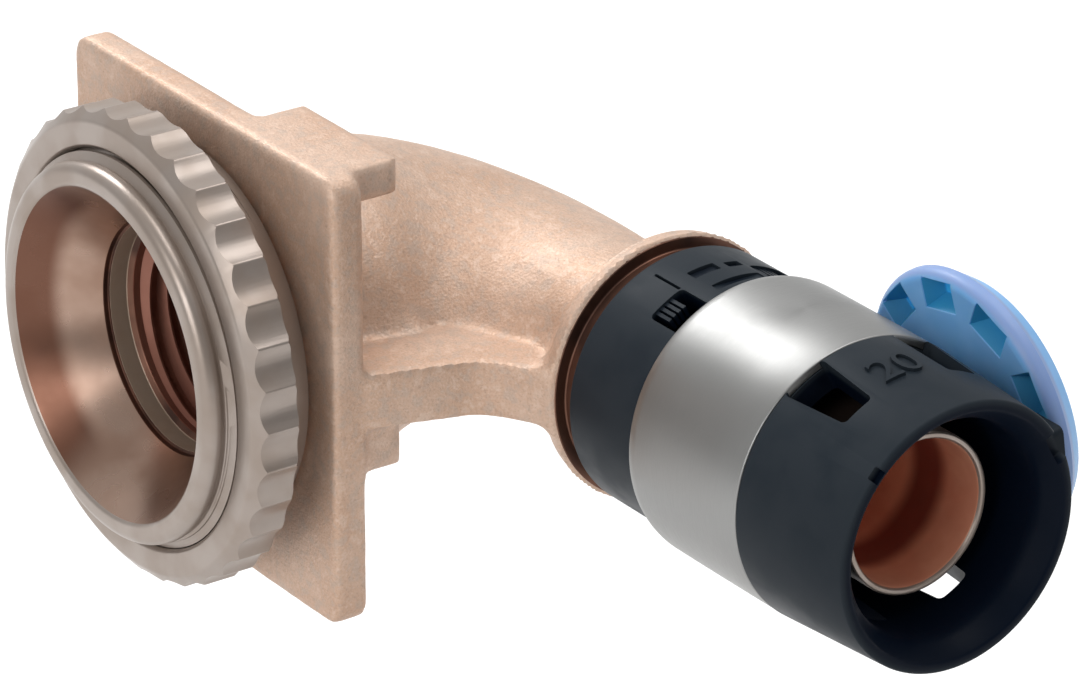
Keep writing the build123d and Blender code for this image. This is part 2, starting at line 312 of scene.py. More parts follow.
plasticLook = {
    "base": (0.017, 0.023, 0.030), "pale": (0.022, 0.028, 0.035),
    "roughLow": 0.38, "roughHigh": 0.50, "specular": 0.06,
    # painted shade inside the socket
    "insideShade": (0.0022, 0.0052, 0.0125), "insideFrom": 12.0, "insideTo": 12.7,
}


def blackPlastic():
    material = bpy.data.materials.new("blackPlastic")
    n = Nodes(material)
    cloud = n.noiseOf(5, 3)
    skin = n.noiseOf(0.22, 2)
    tone = n.mix(n.span(cloud, 0.35, 0.65, 0, 1), plasticLook["base"], plasticLook["pale"])
    rough = n.span(cloud, 0.35, 0.65, plasticLook["roughLow"], plasticLook["roughHigh"])
    # painted shade: the socket's inside is painted darker than its outside
    parts = n.add("SeparateXYZ", {"Vector": n.coords})
    side = n.maths("SUBTRACT", parts.outputs["Y"], socketY * mm)
    out = n.outFrom(side, parts.outputs["Z"])
    insideShade = n.span(out, plasticLook["insideFrom"] * mm, plasticLook["insideTo"] * mm, 1, 0)
    tone = n.mix(insideShade, tone, plasticLook["insideShade"])
    n.give(color=tone, rough=rough, normal=n.bump(skin, 0.12, 0.01),
           specular=plasticLook["specular"])
    return material


bluePlasticLook = {
    "base": (0.17, 0.43, 0.79), "pale": (0.20, 0.46, 0.82), "edge": (0.22, 0.33, 0.60),
    # pocket colours: walls in painted shade, floors in painted light
    "pocket": (0.035, 0.31, 0.58), "litPocketFloor": (0.05, 0.50, 0.90), "rough": 0.42,
    "turn": -82, "face": 13.8, "centre": 57.6, "pocketOut": 12.75, "pocketDepth": 2.0,
    "subsurface": 0.3, "scatter": 1.2, "scatterColor": (0.3, 0.6, 1.0),
}


def bluePlastic():
    look = bluePlasticLook
    material = bpy.data.materials.new("bluePlastic")
    n = Nodes(material)
    cloud = n.noiseOf(4, 2)
    skin = n.noiseOf(0.3, 2)
    tone = n.mix(n.span(cloud, 0.35, 0.65, 0, 1), look["base"], look["pale"])
    # how far a point lies behind the disc's face, and how far from the disc's middle
    turn = math.radians(look["turn"])
    centre = (look["centre"] * mm, socketY * mm, 0)
    axis = (0, -math.sin(turn), math.cos(turn))
    rim = n.add("VectorMath", {0: n.coords, 1: centre}, operation="SUBTRACT").outputs["Vector"]
    facing = n.add("VectorMath", {0: rim, 1: axis}, operation="DOT_PRODUCT").outputs["Value"]
    reach = n.add("VectorMath", {0: rim}, operation="LENGTH").outputs["Value"]
    squares = [n.maths("MULTIPLY", value, value) for value in (reach, facing)]
    out = n.maths("SQRT", n.maths("SUBTRACT", *squares))
    depth = n.maths("SUBTRACT", facing, look["face"] * mm)
    edge = n.span(out, look["pocketOut"] * mm, (look["pocketOut"] + 0.5) * mm, 0, 1)
    tone = n.mix(edge, tone, look["edge"])
    # painted shade on each pocket's walls, painted light on its floor
    inner = n.maths("LESS_THAN", out, look["pocketOut"] * mm)
    behind = n.maths("MULTIPLY", n.maths("GREATER_THAN", depth, 0.1 * mm),
                     n.maths("LESS_THAN", depth, (look["pocketDepth"] + 0.1) * mm))
    pocket = n.mix(n.span(depth, 0.9 * look["pocketDepth"] * mm, look["pocketDepth"] * mm, 0, 1),
                   look["pocket"], look["litPocketFloor"])
    tone = n.mix(n.maths("MULTIPLY", inner, behind), tone, pocket)
    n.give(color=tone, rough=look["rough"], normal=n.bump(skin, 0.08, 0.01),
           subsurface=look["subsurface"], subsurfaceScale=look["scatter"] * mm,
           subsurfaceRadius=look["scatterColor"])
    return material


def blackRubber():
    material = bpy.data.materials.new("blackRubber")
    n = Nodes(material)
    skin = n.noiseOf(0.15, 3)
    tone = n.mix(n.noiseOf(1.5, 2), (0.018, 0.018, 0.019), (0.03, 0.03, 0.031))
    n.give(color=tone, rough=0.55, normal=n.bump(skin, 0.2, 0.01))
    return material


steel = satinSteel()
plastic = blackPlastic()
blue = bluePlastic()
rubber = blackRubber()
print("sleeve, plastics and rubber made")


# tools for the pieces
def smoothShade(obj, angle):
    mesh = obj.data
    mesh.polygons.foreach_set("use_smooth", [True] * len(mesh.polygons))
    mesh.set_sharp_from_angle(angle=math.radians(angle))
    mesh.update()


def toObject(bm, name, materials, angle=32):
    mesh = bpy.data.meshes.new(name)
    bm.to_mesh(mesh)
    bm.free()
    for material in materials:
        mesh.materials.append(material)
    obj = bpy.data.objects.new(name, mesh)
    scene.collection.objects.link(obj)
    smoothShade(obj, angle)
    return obj


def scaleToMetres(bm, shift=(0, 0, 0)):
    bmesh.ops.translate(bm, verts=bm.verts, vec=shift)
    bmesh.ops.scale(bm, verts=bm.verts, vec=(mm, mm, mm))


def relax(bm, verts, passes):
    for step in range(passes):
        bmesh.ops.smooth_vert(bm, verts=verts, factor=0.5,
                              use_axis_x=True, use_axis_y=True, use_axis_z=True)


def bakeModifiers(obj):
    graph = bpy.context.evaluated_depsgraph_get()
    graph.update()
    mesh = bpy.data.meshes.new_from_object(obj.evaluated_get(graph))
    old = obj.data
    obj.modifiers.clear()
    obj.data = mesh
    bpy.data.meshes.remove(old)


def carve(target, tool, operation):
    modifier = target.modifiers.new(operation.lower(), "BOOLEAN")
    modifier.operation = operation
    modifier.solver = "MANIFOLD"
    modifier.object = tool
    bpy.context.view_layer.update()
    bakeModifiers(target)
    bpy.data.objects.remove(tool)


def turnedRing(profile, axis, steps):
    # profile: (along the axis, out from it, radius of the corner) in mm
    bm = bmesh.new()
    points = []
    for along, out, corner in profile:
        place = (out, along, 0) if axis == "Y" else (along, 0, out)
        points.append(bm.verts.new(place))
    for first, second in zip(points, points[1:] + points[:1]):
        bm.edges.new((first, second))
    for point, (along, out, corner) in zip(points, profile):
        if corner > 0:
            bmesh.ops.bevel(bm, geom=[point], offset=corner, affect="VERTICES", segments=4,
                            profile=0.5, material=-1, clamp_overlap=True)
    direction = (0, 1, 0) if axis == "Y" else (1, 0, 0)
    bmesh.ops.spin(bm, geom=bm.verts[:] + bm.edges[:], cent=(0, 0, 0), axis=direction,
                   dvec=(0, 0, 0), angle=math.tau, steps=steps, use_merge=True, use_duplicate=False)
    bmesh.ops.remove_doubles(bm, verts=bm.verts, dist=1e-5)
    bmesh.ops.recalc_face_normals(bm, faces=bm.faces)
    return bm


def helixRidge(profile, pitch, turns, stepsPerTurn, sink):
    # a closed ridge profile (along Y, out) swept along a helix round the Y axis; both ends
    # run out into the wall, and sink is how far they lie in it
    bm = bmesh.new()
    points = [bm.verts.new((out, along, 0)) for along, out in profile]
    face = bm.faces.new(points)
    steps = int(turns * stepsPerTurn)
    bmesh.ops.spin(bm, geom=[face] + face.verts[:] + face.edges[:], cent=(0, 0, 0), axis=(0, 1, 0),
                   dvec=(0, pitch / stepsPerTurn, 0), angle=math.tau * steps / stepsPerTurn,
                   steps=steps, use_merge=False, use_duplicate=False)
    bmesh.ops.holes_fill(bm, edges=[edge for edge in bm.edges if edge.is_boundary], sides=len(profile))
    bmesh.ops.recalc_face_normals(bm, faces=bm.faces)
    for vert in bm.verts:
        part = (math.atan2(-vert.co.z, vert.co.x) / math.tau) % 1
        turn = part + round((vert.co.y / pitch) - part)
        low = max(0, 1 - max(turn, 0) / 0.6, 1 - max(turns - turn, 0) / 0.3) * sink
        out = math.hypot(vert.co.x, vert.co.z)
        vert.co.x *= (out + low) / out
        vert.co.z *= (out + low) / out
    return bm


# casting: a merged copy of the body's solid, cut off at the machined cup and nozzle,
# then remeshed so that its inner corners can flow together
castingShape = {
    "cupCut": 0.01, "collarCut": 31.7, "voxel": 0.44, "smooth": 2,
    "creaseAngle": 13, "edgeAngle": 22, "spread": 2, "filletPasses": 8, "uneven": 0.03,
    "bendInside": (13.0, 19.5, 0), "bendFill": 5.4, "bendAcross": 7.2, "bendAlong": 16,
    "bendHigh": 11, "bendLow": 6,
    "rootFrom": 5.4, "rootTo": 23, "rootSides": (6, 24), "rootTop": 14.5, "rootOut": 11.5,
    "rootPasses": 120, "ribClear": 2.85,
    "collarFrom": 24.5, "collarTo": 31.3, "collarOut": 8.8, "collarPasses": 45,
}


def fillInnerBend(bm):
    # the bend is fuller on its inner side than a plain one, which leaves a low crescent on the rib
    shape = castingShape
    across = Vector((1, -1, 0)).normalized()
    along = Vector((1, 1, 0)).normalized()
    for vert in bm.verts:
        place = vert.co - Vector(shape["bendInside"])
        high = shape["bendHigh"] if place.z > 0 else shape["bendLow"]
        share = math.exp(-(place.dot(across) / shape["bendAcross"]) ** 2
                         - (place.dot(along) / shape["bendAlong"]) ** 2 - (place.z / high) ** 2)
        vert.co += across * share * shape["bendFill"]


def makeCasting():
    shape = castingShape
    bm = bmesh.new()
    bm.from_mesh(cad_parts["elbow_body"].data)
    bmesh.ops.scale(bm, verts=bm.verts, vec=(1 / mm,) * 3)
    bmesh.ops.remove_doubles(bm, verts=bm.verts, dist=1e-3)
    cuts = [((0, shape["cupCut"], 0), (0, 1, 0)), ((shape["collarCut"], 0, 0), (-1, 0, 0))]
    for place, normal in cuts:
        cut = bmesh.ops.bisect_plane(bm, geom=bm.verts[:] + bm.edges[:] + bm.faces[:], dist=1e-4,
                                     plane_co=place, plane_no=normal, clear_inner=True)
        rim = [item for item in cut["geom_cut"] if isinstance(item, bmesh.types.BMEdge)]
        bmesh.ops.triangle_fill(bm, edges=rim, use_beauty=True, use_dissolve=False)
    bmesh.ops.recalc_face_normals(bm, faces=bm.faces)
    scaleToMetres(bm)
    casting = toObject(bm, "wall_elbow_body", bodySkins)
    remesh = casting.modifiers.new("remesh", "REMESH")
    remesh.mode = "VOXEL"
    remesh.voxel_size = shape["voxel"] * mm
    bakeModifiers(casting)
    print("casting remeshed:", len(casting.data.polygons), "faces")
    return casting


def softenCasting(casting):
    # the tube's root and the collar's flare relax most, every other crease between two forms
    # relaxes into a small fillet, and the outer edges stay
    shape = castingShape
    bm = bmesh.new()
    bm.from_mesh(casting.data)
    bmesh.ops.scale(bm, verts=bm.verts, vec=(1 / mm,) * 3)
    fillInnerBend(bm)
    relax(bm, bm.verts, shape["smooth"])
    flare = [vert for vert in bm.verts if shape["collarFrom"] < vert.co.x < shape["collarTo"]
             and math.hypot(vert.co.y - socketY, vert.co.z) > shape["collarOut"]
             and (abs(vert.co.z) > shape["ribClear"] or vert.co.y > socketY)]
    root = [vert for vert in bm.verts if shape["rootFrom"] < vert.co.y < shape["rootTo"]
            and shape["rootSides"][0] < vert.co.x < shape["rootSides"][1]
            and shape["ribClear"] < vert.co.z < shape["rootTop"]
            and math.hypot(vert.co.x, vert.co.z) > shape["rootOut"]]
    relax(bm, flare, shape["collarPasses"])
    relax(bm, root, shape["rootPasses"])
    bm.normal_update()
    crease, edges = set(), set()
    for edge in bm.edges:
        angle = math.degrees(edge.calc_face_angle_signed(0))
        if angle < -shape["creaseAngle"]:
            crease.update(edge.verts)
        elif angle > shape["edgeAngle"]:
            edges.update(edge.verts)
    edges |= {near for vert in edges for link in vert.link_edges for near in link.verts}
    front = set(crease)
    for step in range(shape["spread"]):
        front = {near for vert in front for link in vert.link_edges for near in link.verts} - crease
        crease |= front
    soft = [vert for vert in crease if vert not in edges]
    relax(bm, soft, shape["filletPasses"])
    bm.normal_update()
    for vert in bm.verts:
        push = noise.noise(vert.co * 0.35) + 0.5 * noise.noise(vert.co * 0.9)
        vert.co += vert.normal * push * shape["uneven"]
    scaleToMetres(bm)
    bm.to_mesh(casting.data)
    bm.free()
    print("casting softened:", len(soft), "points in fillets")


casting = makeCasting()
softenCasting(casting)

# machined cup: outer thread, lip, funnel, seat and the bore of the tap thread
cupShape = {
    "threadRoot": 18.3, "threadCrest": 18.97, "threadPitch": 1.5, "threadStart": -9.5,
    "lipOut": 18.2, "lipIn": 16.0, "nose": 1.5, "undercut": 0.5, "threadEnd": -0.9, "threadTurn": 60,
    "seatRadius": 11.05, "seatDepth": 7.1, "seatStep": 2.7, "boreRadius": 10.48, "boreEnd": 12.3,
    "crestRadius": 9.40, "tapPitch": 1.814, "root": 1.5, "stepsPerTurn": 96,
}


def makeCup():
    s = cupShape
    seat = cupFront + s["seatDepth"]
    bore = seat + s["seatStep"]
    nose = cupFront + s["nose"]
    wall = [
        (s["root"], s["threadRoot"] - 1.2, 0), (s["root"], s["boreRadius"], 0),
        (bore, s["boreRadius"], 0.1), (bore - 0.35, s["seatRadius"], 0.1),
        (seat + s["undercut"], s["seatRadius"], 0.05),
        (seat + s["undercut"], s["seatRadius"] + 0.3, 0.1),
        (seat, s["seatRadius"] + 0.3, 0.1), (cupFront, s["lipIn"] + 0.15, 0.3),
        (cupFront, s["lipOut"] - 0.55, 0.5), (cupFront + 0.75, s["lipOut"], 0.3),
        (nose, s["lipOut"], 0.15),
        (nose + 0.25, s["threadRoot"] - 0.3, 0.1), (nose + 0.6, s["threadRoot"] - 0.3, 0.1),
        (nose + 0.7, s["threadRoot"], 0.1),
        (-0.3, s["threadRoot"], 0), (0.4, s["threadRoot"] - 1.2, 0),
    ]
    bm = turnedRing(wall, "Y", 160)
    scaleToMetres(bm)
    cup = toObject(bm, "cup", [turnedSkin])
    half = s["threadPitch"] / 2
    depth = s["threadCrest"] - s["threadRoot"]
    ridge = [(-half * 0.85, s["threadRoot"] - 0.3), (-half * 0.25, s["threadCrest"]),
             (half * 0.25, s["threadCrest"]), (half * 0.85, s["threadRoot"] - 0.3)]
    turns = (s["threadEnd"] - s["threadStart"]) / s["threadPitch"]
    bm = helixRidge(ridge, s["threadPitch"], turns, s["stepsPerTurn"], -depth - 0.1)
    bmesh.ops.rotate(bm, verts=bm.verts, cent=(0, 0, 0),
                     matrix=Matrix.Rotation(math.radians(s["threadTurn"]), 3, "Y"))
    scaleToMetres(bm, (0, s["threadStart"], 0))
    carve(cup, toObject(bm, "outerThread", [turnedSkin]), "UNION")
    return cup


def tapThread():
    s = cupShape
    half = s["tapPitch"] / 2
    start = cupFront + s["seatDepth"] + s["seatStep"] + half * 0.5
    ridge = [(-half * 0.95, s["boreRadius"] + 0.3), (half * 0.95, s["boreRadius"] + 0.3),
             (half * 0.1, s["crestRadius"]), (-half * 0.1, s["crestRadius"])]
    turns = (s["boreEnd"] - start - half) / s["tapPitch"]
    depth = s["boreRadius"] - s["crestRadius"]
    bm = helixRidge(ridge, s["tapPitch"], turns, s["stepsPerTurn"], depth + 0.1)
    scaleToMetres(bm, (0, start, 0))
    return toObject(bm, "tapThread", [mouthThread])


# neck and nozzle of the press socket
nozzleShape = {
    "back": 30.0, "collarFace": 31.84, "faceRadius": 12.75, "neckRadius": 11.6, "neckFront": 36.0,
    "radius": 7.65, "bore": 6.95, "boreDepth": 16.0, "passage": 6.1,
    "grooveDepth": 0.95, "grooveWidth": 1.7, "lip": 0.35, "rim": 0.25, "inletLength": 4,
}


def makeNozzle():
    s = nozzleShape
    floor = s["radius"] - s["grooveDepth"]
    profile = [(s["back"], s["passage"] + 0.02, 0), (s["back"], s["faceRadius"], 0),
               (s["collarFace"], s["faceRadius"], 0.1), (s["collarFace"], s["neckRadius"], 0.2),
               (s["neckFront"], s["neckRadius"], 0.4), (s["neckFront"], s["radius"], 0.3)]
    for ring in ("rear_seal_ring", "front_seal_ring"):
        low, high = nodeBox(ring)
        middle = (low.x + high.x) / 2
        for side, out in ((-1, s["radius"]), (-1, floor), (1, floor), (1, s["radius"])):
            profile.append((middle + side * s["grooveWidth"] / 2, out, 0.08))
    profile += [
        (nozzleFront, s["radius"], 0.2), (nozzleFront, s["bore"] + 0.2, 0.1),
        (nozzleFront - s["lip"], s["bore"], 0.1), (nozzleFront - s["inletLength"], s["bore"], 1.5),
        (nozzleFront - s["boreDepth"], s["passage"] + 0.02, 2.0),
    ]
    bm = turnedRing(profile, "X", 160)
    scaleToMetres(bm, (0, socketY, 0))
    return toObject(bm, "nozzle", [nozzleSkin])


carve(casting, makeCup(), "UNION")
carve(casting, tapThread(), "UNION")
carve(casting, makeNozzle(), "UNION")


def paintBody(body):
    # which finish each face of the body has, by where it lies, with painted shade on some
    s, n = cupShape, nozzleShape
    seat = cupFront + s["seatDepth"]
    bore = seat + s["seatStep"]
    for face in body.data.polygons:
        x, y, z = face.center / mm
        out = math.hypot(x, z)
        socketOut = math.hypot(y - socketY, z)
        if x > nozzleFront - n["rim"] and socketOut > n["bore"] + 0.02:
            finish = turnedSkin
        # painted shade on the nozzle's outside, inside the holder
        elif x > n["collarFace"] and n["bore"] + 0.1 < socketOut < n["neckRadius"] - 0.02:
            finish = nozzleShadeSkin
        elif x > n["back"] and socketOut < n["neckRadius"] - 1:
            finish = nozzleSkin
        # painted shade on the collar's front face and the neck
        elif x > n["collarFace"] - 0.12 and socketOut < n["faceRadius"] + 0.02:
            finish = paintedShadeSkin
        elif y < -0.1 and out > s["lipIn"] - 0.02:
            finish = turnedSkin
        elif y < seat - 0.03 and out < s["lipIn"]:
            finish = mouthBore
        # painted shade on the undercut ring at the seat
        elif y < seat + s["undercut"] + 0.02 and out < s["lipIn"]:
            finish = paintedShadeSkin
        elif y < bore - 0.33 and out < s["lipIn"]:
            finish = seatSkin
        # painted shade on the chamfer into the tap thread
        elif y < bore and s["boreRadius"] < out < s["lipIn"]:
            finish = paintedShadeSkin
        elif y < 18 and abs(z) < s["boreRadius"] + 0.1 and out < s["boreRadius"] + 0.1:
            finish = mouthThread
        else:
            finish = cast
        face.material_index = bodySkins.index(finish)


paintBody(casting)
smoothShade(casting, 38)
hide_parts("elbow_body")
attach(casting, "fitting")
print("body finished:", len(casting.data.polygons), "faces")


# ring nut: one flute, spun round and drawn out, then cut to the turned ring
nutShape = {
    "flutes": 36, "depth": 0.5, "startAngle": 5, "ridgeRound": 0.16, "pointsPerFlute": 10,
    "faceStep": 1.3, "faceBevel": 1.1, "backBevel": 0.3, "boreRadius": 19.05, "innerChamfer": 0.35,
}


def flutedBar():
    s = nutShape
    halfPitch = math.pi / s["flutes"]
    halfChord = nutRadius * math.sin(halfPitch)
    fluteRadius = (halfChord ** 2 + s["depth"] ** 2) / (2 * s["depth"])
    fluteCentre = nutRadius * math.cos(halfPitch) - s["depth"] + fluteRadius
    bm = bmesh.new()
    # the outline of one flute, from ridge to ridge, by an arc about the flute's centre
    reach = math.asin(halfChord / fluteRadius)
    ridge = (fluteCentre - fluteRadius * math.cos(reach), 0, -fluteRadius * math.sin(reach))
    start = bm.verts.new(ridge)
    bmesh.ops.spin(bm, geom=[start], cent=(fluteCentre, 0, 0), axis=(0, 1, 0), dvec=(0, 0, 0),
                   angle=2 * reach, steps=s["pointsPerFlute"], use_merge=False)
    bmesh.ops.rotate(bm, verts=bm.verts, cent=(0, 0, 0),
                     matrix=Matrix.Rotation(math.radians(s["startAngle"]), 3, "Y"))
    bmesh.ops.spin(bm, geom=bm.verts[:] + bm.edges[:], cent=(0, 0, 0), axis=(0, 1, 0), dvec=(0, 0, 0),
                   angle=math.tau * (s["flutes"] - 1) / s["flutes"], steps=s["flutes"] - 1,
                   use_duplicate=True, use_merge=False)
    bmesh.ops.remove_doubles(bm, verts=bm.verts, dist=1e-3)
    ridges = [vert for vert in bm.verts if math.hypot(vert.co.x, vert.co.z) > nutRadius - 0.01]
    bmesh.ops.bevel(bm, geom=ridges, offset=s["ridgeRound"], affect="VERTICES", segments=3,
                    profile=0.5, material=-1, clamp_overlap=True)
    outline = bmesh.ops.contextual_create(bm, geom=bm.edges[:])["faces"]
    bmesh.ops.translate(bm, verts=bm.verts, vec=(0, nutHigh.y + 1, 0))
    made = bmesh.ops.extrude_face_region(bm, geom=outline, use_keep_orig=True)["geom"]
    deep = [item for item in made if isinstance(item, bmesh.types.BMVert)]
    bmesh.ops.translate(bm, verts=deep, vec=(0, nutLow.y - nutHigh.y - 2, 0))
    bmesh.ops.recalc_face_normals(bm, faces=bm.faces)
    return bm


def makeNut():
    s = nutShape
    front, back = nutLow.y, nutHigh.y
    ring = turnedRing([
        (back, s["boreRadius"] + 0.4, 0.1), (back, nutRadius - s["backBevel"], 0.1),
        (back - s["backBevel"], nutRadius, 0.1), (front + s["faceBevel"], nutRadius + 0.01, 0.2),
        (front, nutRadius - s["faceStep"], 0.25), (front, s["boreRadius"] + s["innerChamfer"], 0.12),
        (front + s["innerChamfer"], s["boreRadius"], 0.1), (back - 0.4, s["boreRadius"], 0.1),
    ], "Y", 288)
    scaleToMetres(ring)
    nut = toObject(ring, "scalloped_ring_nut", [turnedSkin])
    bar = flutedBar()
    scaleToMetres(bar)
    carve(nut, toObject(bar, "flutedBar", [turnedSkin]), "INTERSECT")
    smoothShade(nut, 24)
    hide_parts("ring_nut")
    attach(nut, "nut")
    print("nut finished:", len(nut.data.polygons), "faces")


makeNut()


# press sleeve: its rear edge curls in, and its middle is a little fuller
sleeveShape = {"wall": 0.9, "curl": 0.9, "frontEdge": 0.18, "barrel": 0.06, "rearDrop": 0.35}


def makeSleeve():
    s = sleeveShape
    back, front = sleeveLow.x, sleeveHigh.x
    inner = sleeveRadius - s["wall"]
    profile = [
        (back, inner, 0.1), (back, sleeveRadius - s["rearDrop"], 0.3),
        (back + s["curl"], sleeveRadius - s["barrel"] * 0.6, 0.5),
        ((back + front) / 2, sleeveRadius, 4.0),
        (front, sleeveRadius - s["barrel"], s["frontEdge"]), (front, inner, 0.1),
    ]
    bm = turnedRing(profile, "X", 192)
    scaleToMetres(bm, (0, socketY, 0))
    sleeve = toObject(bm, "steel_press_sleeve", [steel], 40)
    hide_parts("press_sleeve")
    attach(sleeve, "fitting")
    print("sleeve finished")


makeSleeve()


# pipe holder
holderShape = {
    "rearOut": 12.7, "bore": 10.2, "neckBore": 11.65, "neckFront": 36.0,
    "mouthFlare": 1.55, "flareLength": 2.2, "frontOut": 12.75, "frontGap": 0.12,
    "windowAngle": 17, "windowSpread": 26, "windowCentre": 3, "windowIn": 8.5, "pastWall": 15.5,
    "rearWindow": 4.4, "frontWindow": 7.6, "windowTaper": 0.72, "windowRound": 0.5,
    "combTeeth": 4, "combAngle": 2.7, "combTooth": 0.35, "combLength": 2.0,
    "farSide": -82, "clip": (68.0, 72.2), "clipWidth": 8.8, "clipTop": 13.75,
    "stemSeat": (62.5, 67.7), "stemWidth": 4.2, "stemRoot": 11.0,
    "number": "20", "numberSize": 4.9, "numberFoot": 67.3, "numberStart": 13.5,
    "numberRise": 0.3, "numberSink": 0.5, "numberStrips": 12,
}
# short marks moulded into the wall: x from, x to, angle, width across, depth
holderMarks = {
    "slit": (35.6, 39.4, 20.5, 0.3, 0.5), "dash": (38.3, 39.4, -8.5, 1.6, 0.4),
    "bar": (37.9, 39.3, 5.5, 2.9, 0.4), "longBar": (41.4, 42.5, -0.5, 5.2, 0.4),
    "rimNotch": (73.6, 75.0, 47, 1.3, 0.8), "sideNotch": (73.0, 75.0, -62, 3.2, 1.2),
}


def socketBlock(xRange, radii, angle, width, corner, taper=1):
    # a block in the socket's own frame, turned to this angle from +Z towards -Y
    bm = bmesh.new()
    bmesh.ops.create_cube(bm, size=1)
    size = (xRange[1] - xRange[0], width, radii[1] - radii[0])
    bmesh.ops.scale(bm, verts=bm.verts, vec=size)
    front = [vert for vert in bm.verts if vert.co.x > 0]
    bmesh.ops.scale(bm, verts=front, vec=(1, taper, 1))
    if corner > 0:
        upright = [edge for edge in bm.edges
                   if abs(edge.verts[0].co.z - edge.verts[1].co.z) > size[2] / 2]
        bmesh.ops.bevel(bm, geom=upright, offset=corner, affect="EDGES", segments=4, profile=0.5,
                        material=-1, clamp_overlap=True)
    bmesh.ops.translate(bm, verts=bm.verts, vec=(sum(xRange) / 2, 0, sum(radii) / 2))
    bmesh.ops.rotate(bm, verts=bm.verts, cent=(0, 0, 0),
                     matrix=Matrix.Rotation(math.radians(angle), 3, "X"))
    return bm


def socketTool(bm, name, material):
    scaleToMetres(bm, (0, socketY, 0))
    return toObject(bm, name, [material])


def holderOut(x):
    # the holder's radius at this place: level behind the sleeve, narrowing in front of it
    s = holderShape
    if x < sleeveHigh.x:
        return s["rearOut"]
    share = (x - sleeveHigh.x) / (holderHigh.x - sleeveHigh.x)
    return sleeveRadius + (s["frontOut"] - sleeveRadius) * share


def sizeNumber():
    # a plain number, made flat and wrapped round the socket, its foot towards the mouth
    s = holderShape
    curve = bpy.data.curves.new("sizeNumber", "FONT")
    curve.body = s["number"]
    curve.size = s["numberSize"]
    curve.extrude = s["numberSink"]
    curve.resolution_u = 4
    flat = bpy.data.objects.new("sizeNumber", curve)
    scene.collection.objects.link(flat)
    bpy.context.view_layer.update()
    graph = bpy.context.evaluated_depsgraph_get()
    mesh = bpy.data.meshes.new_from_object(flat.evaluated_get(graph))
    bpy.data.objects.remove(flat)
    bm = bmesh.new()
    bm.from_mesh(mesh)
    bpy.data.meshes.remove(mesh)
    bmesh.ops.remove_doubles(bm, verts=bm.verts, dist=1e-4)
    widest = max(vert.co.x for vert in bm.verts)
    for strip in range(1, s["numberStrips"]):
        bmesh.ops.bisect_plane(bm, geom=bm.verts[:] + bm.edges[:] + bm.faces[:], dist=1e-4,
                               plane_co=(widest * strip / s["numberStrips"], 0, 0), plane_no=(1, 0, 0))
    for vert in bm.verts:
        across, up, high = vert.co
        x = s["numberFoot"] - up
        radius = holderOut(x) + (s["numberRise"] if high > 0 else -s["numberSink"])
        angle = math.radians(s["numberStart"]) - across / holderOut(x)
        vert.co = Vector((x, -math.sin(angle) * radius, math.cos(angle) * radius))
    bmesh.ops.recalc_face_normals(bm, faces=bm.faces)
    return bm


def makeHolder():
    s = holderShape
    back, front = holderLow.x, holderHigh.x
    sleeveFront = sleeveHigh.x + s["frontGap"]
    profile = [
        (back, s["neckBore"], 0.15), (back, s["rearOut"], 0.4), (sleeveFront, s["rearOut"], 0),
        (sleeveFront, sleeveRadius - 0.02, 0.15), (front, s["frontOut"], 0.3),
        (front, s["bore"] + s["mouthFlare"], 0.2), (front - s["flareLength"], s["bore"], 0.8),
        (s["neckFront"], s["bore"], 0.1), (s["neckFront"], s["neckBore"], 0),
    ]
    bm = turnedRing(profile, "X", 160)
    holder = socketTool(bm, "black_pipe_holder", plastic)
    bm = socketBlock(s["clip"], (s["bore"] + 1, s["clipTop"]), s["farSide"], s["clipWidth"], 0.6)
    carve(holder, socketTool(bm, "clip", plastic), "UNION")
    bm = socketBlock(s["stemSeat"], (s["stemRoot"], s["pastWall"]), s["farSide"], s["stemWidth"], 0.15)
    carve(holder, socketTool(bm, "stemSeat", plastic), "DIFFERENCE")
    width = 2 * sleeveRadius * math.sin(math.radians(s["windowAngle"] / 2))
    rear = (sleeveLow.x - s["rearWindow"], sleeveLow.x + 0.3)
    frontX = (sleeveFront - 0.02, sleeveFront + s["frontWindow"])
    for turn in (0, 180):
        for side in (-1, 1):
            angle = s["windowCentre"] + turn + side * s["windowSpread"]
            for xRange, taper in ((rear, 1), (frontX, s["windowTaper"])):
                bm = socketBlock(xRange, (s["windowIn"], s["pastWall"]), angle,
                                 width / (0.5 + taper / 2), s["windowRound"], taper)
                carve(holder, socketTool(bm, "window", plastic), "DIFFERENCE")
            # a comb of short teeth stands in each rear window
            for tooth in range(s["combTeeth"]):
                toothAngle = angle + s["combAngle"] * (s["combTeeth"] / 2 - tooth)
                teethX = (rear[0] - 0.2, rear[0] + s["combLength"])
                teethOut = (s["bore"] + 1.1, s["rearOut"] - 0.25)
                bm = socketBlock(teethX, teethOut, toothAngle, s["combTooth"], 0)
                carve(holder, socketTool(bm, "tooth", plastic), "UNION")
    for start, end, angle, across, depth in holderMarks.values():
        out = holderOut((start + end) / 2)
        bm = socketBlock((start, end), (out - depth, out + 2), angle, across, 0.15)
        carve(holder, socketTool(bm, "mark", plastic), "DIFFERENCE")
    carve(holder, socketTool(sizeNumber(), "number", plastic), "UNION")
    smoothShade(holder, 24)
    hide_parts("pipe_holder")
    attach(holder, "fitting")
    print("holder finished:", len(holder.data.polygons), "faces")


makeHolder()

# what keeps its solid gets its finish
finishes = {"pressing_indicator": blue, "rear_seal_ring": rubber, "front_seal_ring": rubber}
for node, finish in finishes.items():
    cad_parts[node].data.materials.clear()
    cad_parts[node].data.materials.append(finish)


# floor, world and lamps
stageLook = {
    "floorHeight": -60, "floorSize": 6, "floorColor": 0.62, "floorGlow": 0.46,
    "bright": 0.8, "dim": 0.24, "brightFrom": (-0.74, 0.5, 0.5), "dimAt": -0.7, "brightAt": 0.95,
}


